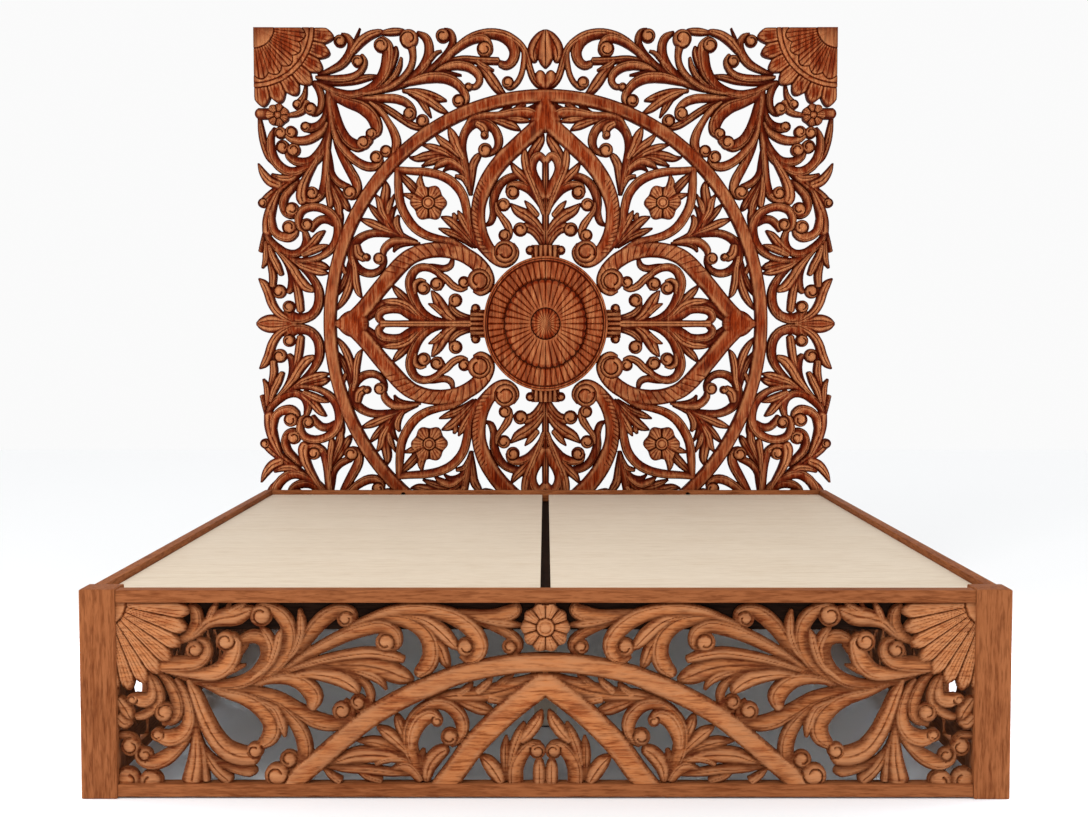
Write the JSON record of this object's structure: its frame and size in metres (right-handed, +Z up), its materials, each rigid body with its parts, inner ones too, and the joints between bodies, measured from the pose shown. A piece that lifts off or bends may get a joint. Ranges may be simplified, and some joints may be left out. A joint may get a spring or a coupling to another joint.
{
  "type": "carved bed",
  "caption": "Low platform bed with a tall square pierced and carved headboard, pierced foot and side panels between square posts, and a lift-off deck in two boards.",
  "frame": {"origin": "on the floor under the middle of the bed", "axes": "+X to the right seen from the foot, +Y towards the headboard, +Z up"},
  "size_m": [2.1196, 2.188, 2.1536],
  "materials": {
    "carved_wood": "satin",
    "headboard_wood": "satin",
    "pine": "matte",
    "steel": "satin",
    "brass": "satin",
    "glide_plastic": "matte"
  },
  "bodies": {
    "bed": {"headboard_left": "headboard_wood", "headboard_right": "headboard_wood", "seam_dowels": "pine", "medallion_dish": "headboard_wood", "medallion_rosette": "headboard_wood", "medallion_button": "headboard_wood", "medallion_dowels": "pine", "foot_panel": "carved_wood", "foot_rosette": "carved_wood", "foot_top_rail": "carved_wood", "foot_bottom_rail": "carved_wood", "foot_post_left": "carved_wood", "foot_post_right": "carved_wood", "side_panel_left": "carved_wood", "side_panel_right": "carved_wood", "side_top_rail_left": "carved_wood", "side_top_rail_right": "carved_wood", "side_bottom_rail_left": "carved_wood", "side_bottom_rail_right": "carved_wood", "head_leg_left": "carved_wood", "head_leg_right": "carved_wood", "head_rail": "carved_wood", "foot_ledger": "carved_wood", "head_ledger": "carved_wood", "side_ledger_left": "carved_wood", "side_ledger_right": "carved_wood", "centre_beam": "pine", "beam_hangers": "steel", "centre_leg_front": "pine", "centre_leg_back": "pine", "leg_glides": "glide_plastic", "corner_brackets": "steel", "bracket_screws": "steel", "headboard_bolts": "steel", "headboard_inserts": "brass"},
    "deck_left": {"deck_board_left": "pine", "deck_battens_left": "pine"},
    "deck_right": {"deck_board_right": "pine", "deck_battens_right": "pine"}
  },
  "joints": [
    {"name": "deck_left_lift", "type": "slide", "parent": "bed", "child": "deck_left", "axis": [0, 0, 1], "range_m": [0, 0.2]},
    {"name": "deck_right_lift", "type": "slide", "parent": "bed", "child": "deck_right", "axis": [0, 0, 1], "range_m": [0, 0.2]}
  ]
}
